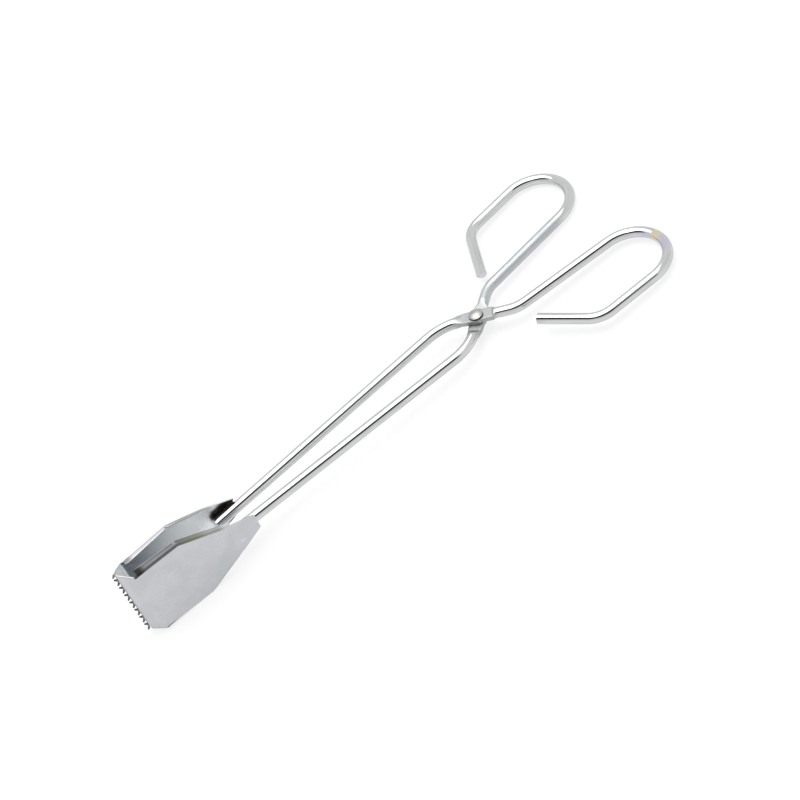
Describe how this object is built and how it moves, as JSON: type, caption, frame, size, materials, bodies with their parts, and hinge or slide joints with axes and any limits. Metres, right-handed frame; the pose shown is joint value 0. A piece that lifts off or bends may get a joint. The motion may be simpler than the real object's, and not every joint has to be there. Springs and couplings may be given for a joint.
{
  "type": "scissor tongs",
  "caption": "Scissor-action charcoal tongs: two bent round-wire arms with open finger loops, riveted at a flattened lap, each carrying a folded sheet jaw with a toothed lip.",
  "frame": {"origin": "middle of the plan outline at the height of the jaws' lowest edge", "axes": "+X from the finger loops to the jaws, +Z along the pivot axis towards the rivet's domed head, +Y across the arms, towards the side of the bottom arm's jaw"},
  "size_m": [0.3522, 0.1334, 0.0494],
  "materials": {
    "plated_wire": "bright plated wire, mirror gloss",
    "jaw_sheet": "satin plated sheet steel",
    "rivet": "domed plated rivet, slightly warm, polished"
  },
  "bodies": {
    "top_half": {"top_arm": "plated_wire", "top_arm_jaw": "jaw_sheet", "pivot_rivet": "rivet"},
    "bottom_half": {"bottom_arm": "plated_wire", "bottom_arm_jaw": "jaw_sheet"}
  },
  "joints": [
    {"name": "pivot", "type": "hinge", "parent": "top_half", "child": "bottom_half", "pos_m": [-0.07147, 0.00058, 0.02265], "axis": [0, 0, 1], "range_deg": [0, 50]}
  ]
}
